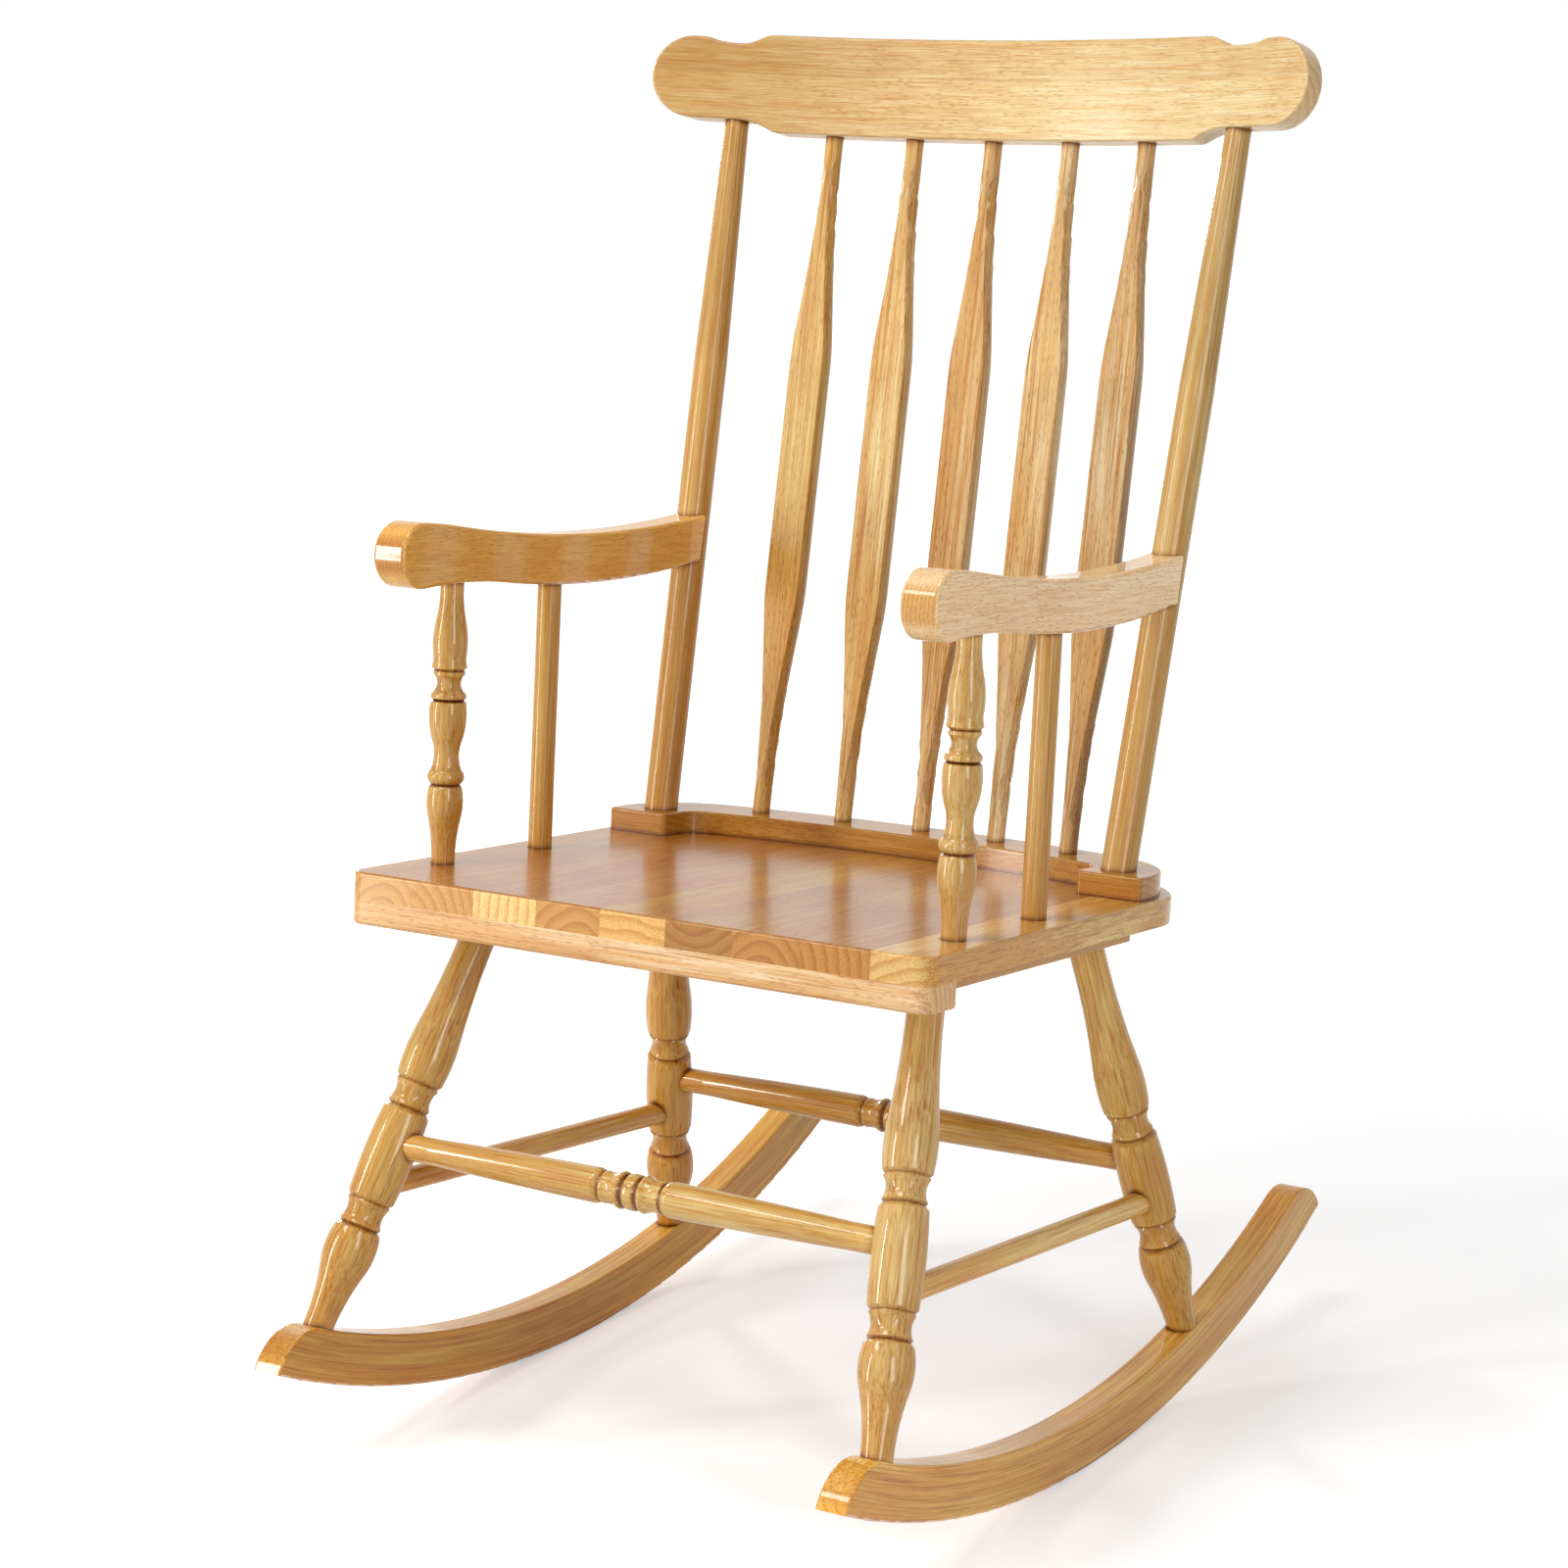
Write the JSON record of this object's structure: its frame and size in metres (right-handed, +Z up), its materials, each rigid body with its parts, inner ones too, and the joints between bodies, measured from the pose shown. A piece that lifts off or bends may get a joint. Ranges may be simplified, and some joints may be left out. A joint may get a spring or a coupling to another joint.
{
  "type": "rocking chair",
  "caption": "Arrow-back rocking chair in light hardwood, with turned legs and arm posts, flat-bladed back slats, a bent crest rail with rounded ears and curved arms.",
  "frame": {"origin": "on the floor, midway between the two rockers and midway between their ends", "axes": "+Z up, the chair faces -Y, +X to the right as seen from the front"},
  "size_m": [0.6016, 0.789, 1.0752],
  "materials": {
    "varnished_wood": "gloss",
    "seat_wood": "gloss",
    "slat_wood": "gloss",
    "screw_steel": "satin"
  },
  "bodies": {
    "root": {"rocker_right": "varnished_wood", "rocker_left": "varnished_wood", "leg_front_right": "varnished_wood", "leg_front_left": "varnished_wood", "leg_rear_right": "varnished_wood", "leg_rear_left": "varnished_wood", "stretcher_front": "varnished_wood", "stretcher_rear": "varnished_wood", "stretcher_right": "varnished_wood", "stretcher_left": "varnished_wood", "runner_right": "varnished_wood", "runner_left": "varnished_wood", "seat_batten": "varnished_wood", "seat_stave_1": "seat_wood", "seat_stave_2": "seat_wood", "seat_stave_3": "seat_wood", "seat_stave_4": "seat_wood", "seat_stave_5": "seat_wood", "seat_stave_6": "seat_wood", "seat_stave_7": "seat_wood", "seat_stave_8": "seat_wood", "seat_stave_9": "seat_wood", "back_rail": "varnished_wood", "back_post_right": "varnished_wood", "back_post_left": "varnished_wood", "back_slat_1": "slat_wood", "back_slat_2": "slat_wood", "back_slat_3": "slat_wood", "back_slat_4": "slat_wood", "back_slat_5": "slat_wood", "crest_rail": "varnished_wood", "arm_right": "varnished_wood", "arm_left": "varnished_wood", "arm_post_right": "varnished_wood", "arm_post_left": "varnished_wood", "arm_spindle_right": "varnished_wood", "arm_spindle_left": "varnished_wood", "long_screws": "screw_steel", "short_screws": "screw_steel"}
  },
  "joints": []
}
